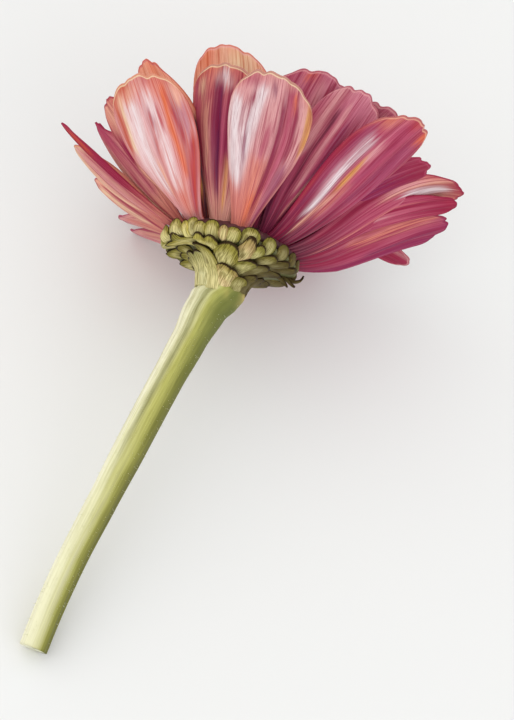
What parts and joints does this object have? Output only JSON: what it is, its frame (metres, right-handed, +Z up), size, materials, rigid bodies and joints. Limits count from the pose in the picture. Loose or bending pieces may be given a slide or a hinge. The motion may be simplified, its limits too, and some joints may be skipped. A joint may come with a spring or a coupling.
{
  "type": "zinnia flower",
  "caption": "Picked zinnia bloom on a short cut stem, lying down: layered ray florets, scaly green cup, dark disc with yellow florets.",
  "frame": {"origin": "middle of the footprint of the lying flower, on the surface that it rests on", "axes": "+Z up, +Y from the cut end of the stem towards the bloom, +X to the right seen from the stem"},
  "size_m": [0.0784, 0.1224, 0.0763],
  "materials": {
    "petals": "soft satin petal, crimson to white-pink with orange streaks and fine lengthwise veins",
    "bracts": "dull green scales with pale bodies and dark papery rims",
    "disc_florets": "dull dark maroon buds and chaffy scales",
    "open_florets": "velvety golden yellow",
    "stem": "pale green ribbed stem with fine hairs"
  },
  "bodies": {
    "root": {"ray_florets": "petals", "involucre": "bracts", "disc": "disc_florets", "open_disc_florets": "open_florets", "stem": "stem"}
  },
  "joints": []
}
